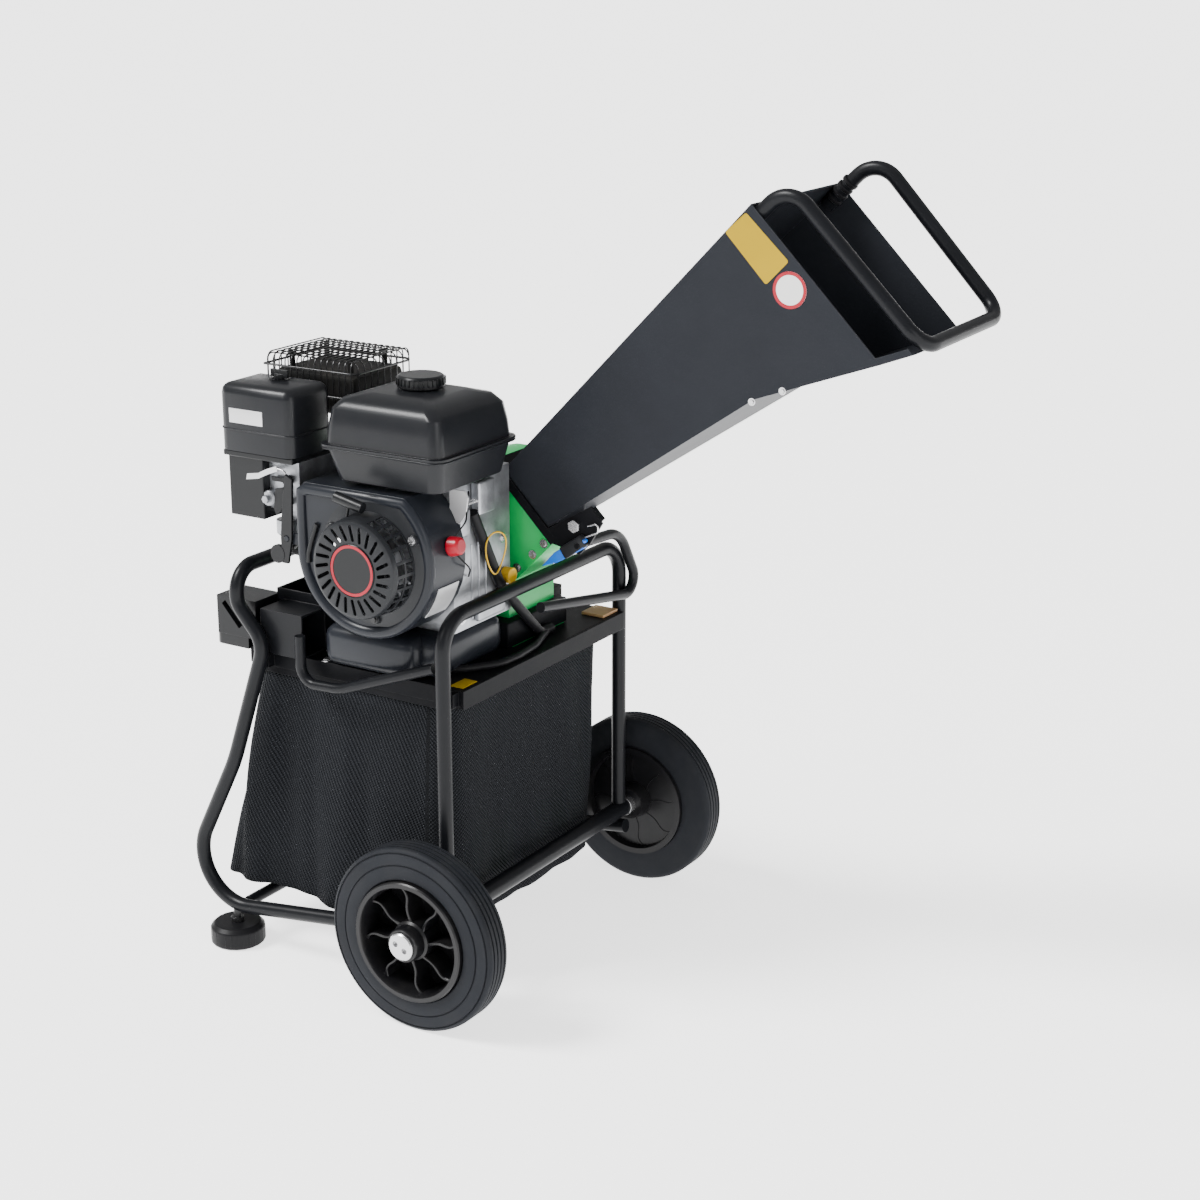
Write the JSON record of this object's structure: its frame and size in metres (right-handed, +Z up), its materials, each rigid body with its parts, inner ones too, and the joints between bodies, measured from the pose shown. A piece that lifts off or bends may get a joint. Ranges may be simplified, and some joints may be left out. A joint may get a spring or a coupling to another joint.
{
  "type": "garden shredder",
  "caption": "Petrol garden shredder: engine-driven knife rotor fed by a long slanted hopper over a wheeled tube frame with a collection bag.",
  "frame": {"origin": "middle of the footprint, on the ground", "axes": "+Z up, +X from the feet towards the hopper mouth, -Y the side of the starter"},
  "size_m": [0.9814, 0.64, 1.0812],
  "materials": {
    "black_coat": "satin black powder coat",
    "grey_plastic": "matte dark grey",
    "rubber": "matte black",
    "rim_plastic": "satin black",
    "cast_alloy": "cast",
    "steel": "zinc plated",
    "green_coat": "green powder coat",
    "red_plastic": "red",
    "yellow_plastic": "yellow",
    "blue_plastic": "blue",
    "bag_cloth": "woven black cloth"
  },
  "bodies": {
    "frame_and_engine": {"wheel_side_hoop": "black_coat", "feet_side_loop": "black_coat", "foot_cross_bar": "black_coat", "axle_tube": "black_coat", "side_rail": "black_coat", "far_side_loop": "black_coat", "brace_tube": "black_coat", "deck_plate": "black_coat", "deck_edge_angle": "black_coat", "bracket_channel": "black_coat", "handle_latch": "black_coat", "bag_rim": "black_coat", "collection_bag": "bag_cloth", "wheel_axle": "steel", "near_foot_stud": "steel", "far_foot_stud": "steel", "engine_plinth": "grey_plastic", "crankcase": "cast_alloy", "cylinder_block": "cast_alloy", "rocker_cover": "grey_plastic", "spark_plug_lead": "rubber", "fan_cover": "grey_plastic", "recoil_housing": "grey_plastic", "fuel_tank_lower": "grey_plastic", "fuel_tank_upper": "grey_plastic", "air_cleaner_base": "grey_plastic", "air_cleaner_cover": "grey_plastic", "carburettor": "cast_alloy", "muffler": "black_coat", "muffler_guard": "black_coat", "rotor_housing": "green_coat", "bed_knife": "steel", "hopper_flange": "black_coat", "hinge_bolt": "steel"},
    "near_wheel": {"near_rim": "rim_plastic", "near_tyre": "rubber", "near_hub_cap": "steel"},
    "far_wheel": {"far_rim": "rim_plastic", "far_tyre": "rubber", "far_hub_cap": "steel"},
    "near_foot": {"near_foot_pad": "rubber"},
    "far_foot": {"far_foot_pad": "rubber"},
    "crank": {"crankshaft": "steel", "flywheel_fan": "cast_alloy", "rotor": "steel", "knife_a": "steel", "knife_b": "steel"},
    "reel": {"starter_reel": "grey_plastic"},
    "grip": {"starter_grip": "grey_plastic"},
    "throttle": {"throttle_lever": "grey_plastic"},
    "choke": {"choke_lever": "grey_plastic"},
    "fuel_valve": {"fuel_valve_lever": "steel"},
    "stop_switch": {"stop_switch_knob": "red_plastic"},
    "tank_cap": {"fuel_cap": "grey_plastic"},
    "oil_cap": {"oil_filler_cap": "yellow_plastic"},
    "wing_nut": {"cover_wing_nut": "grey_plastic"},
    "hopper": {"hopper_shell": "black_coat", "hopper_handle": "black_coat"},
    "flap": {"hopper_flap": "rubber"},
    "clamp": {"clamp_lever": "blue_plastic"}
  },
  "joints": [
    {"name": "near_wheel_roll", "type": "hinge", "parent": "frame_and_engine", "child": "near_wheel", "pos_m": [-0.06199, -0.2783, 0.125], "axis": [0, 1, 0], "continuous": true},
    {"name": "far_wheel_roll", "type": "hinge", "parent": "frame_and_engine", "child": "far_wheel", "pos_m": [-0.06199, 0.2783, 0.125], "axis": [0, 1, 0], "continuous": true},
    {"name": "near_foot_turn", "type": "hinge", "parent": "frame_and_engine", "child": "near_foot", "pos_m": [-0.42449, -0.214, 0.015], "axis": [0, 0, 1], "continuous": true},
    {"name": "far_foot_turn", "type": "hinge", "parent": "frame_and_engine", "child": "far_foot", "pos_m": [-0.42449, 0.214, 0.015], "axis": [0, 0, 1], "continuous": true},
    {"name": "crank_turn", "type": "hinge", "parent": "frame_and_engine", "child": "crank", "pos_m": [-0.15999, -0.05, 0.595], "axis": [0, 1, 0], "continuous": true},
    {"name": "reel_turn", "type": "hinge", "parent": "frame_and_engine", "child": "reel", "pos_m": [-0.15999, -0.244, 0.595], "axis": [0, 1, 0], "range_deg": [0, 98], "stiffness_Nm_per_rad": 0.02, "springref_deg": -34.38},
    {"name": "grip_pull", "type": "slide", "parent": "frame_and_engine", "child": "grip", "axis": [0.2079, 0, 0.9781], "range_m": [0, 0.06]},
    {"name": "throttle_swing", "type": "hinge", "parent": "frame_and_engine", "child": "throttle", "pos_m": [-0.30749, -0.2112, 0.602], "axis": [0, -1, 0], "range_deg": [0, 25]},
    {"name": "choke_swing", "type": "hinge", "parent": "frame_and_engine", "child": "choke", "pos_m": [-0.31399, -0.1943, 0.676], "axis": [0, 1, 0], "range_deg": [0, 45]},
    {"name": "fuel_valve_swing", "type": "hinge", "parent": "frame_and_engine", "child": "fuel_valve", "pos_m": [-0.31399, -0.1943, 0.648], "axis": [0, -1, 0], "range_deg": [0, 90]},
    {"name": "stop_switch_turn", "type": "hinge", "parent": "frame_and_engine", "child": "stop_switch", "pos_m": [-0.07368, -0.176, 0.61766], "axis": [0.9816, 0, 0.1908], "range_deg": [0, 60]},
    {"name": "tank_cap_turn", "type": "hinge", "parent": "frame_and_engine", "child": "tank_cap", "pos_m": [-0.15499, -0.119, 0.8063], "axis": [0, 0, 1], "range_deg": [0, 90]},
    {"name": "oil_cap_turn", "type": "hinge", "parent": "frame_and_engine", "child": "oil_cap", "pos_m": [-0.09169, -0.03, 0.541], "axis": [1, 0, 0], "range_deg": [0, 360]},
    {"name": "wing_nut_turn", "type": "hinge", "parent": "frame_and_engine", "child": "wing_nut", "pos_m": [-0.35199, -0.16, 0.7983], "axis": [0, 0, 1], "range_deg": [0, 720]},
    {"name": "hopper_tilt", "type": "hinge", "parent": "frame_and_engine", "child": "hopper", "pos_m": [0.00342, 0.001, 0.61515], "axis": [0, 1, 0], "range_deg": [0, 75]},
    {"name": "flap_swing", "type": "hinge", "parent": "hopper", "child": "flap", "pos_m": [0.17805, 0.09, 0.96406], "axis": [0, 1, 0], "range_deg": [0, 40]},
    {"name": "clamp_swing", "type": "hinge", "parent": "frame_and_engine", "child": "clamp", "pos_m": [0.01254, -0.0091, 0.59146], "axis": [0, -1, 0], "range_deg": [0, 70]}
  ],
  "couplings": [
    {"joint": "grip_pull", "follows": "reel_turn", "m_per_rad": 0.035}
  ]
}
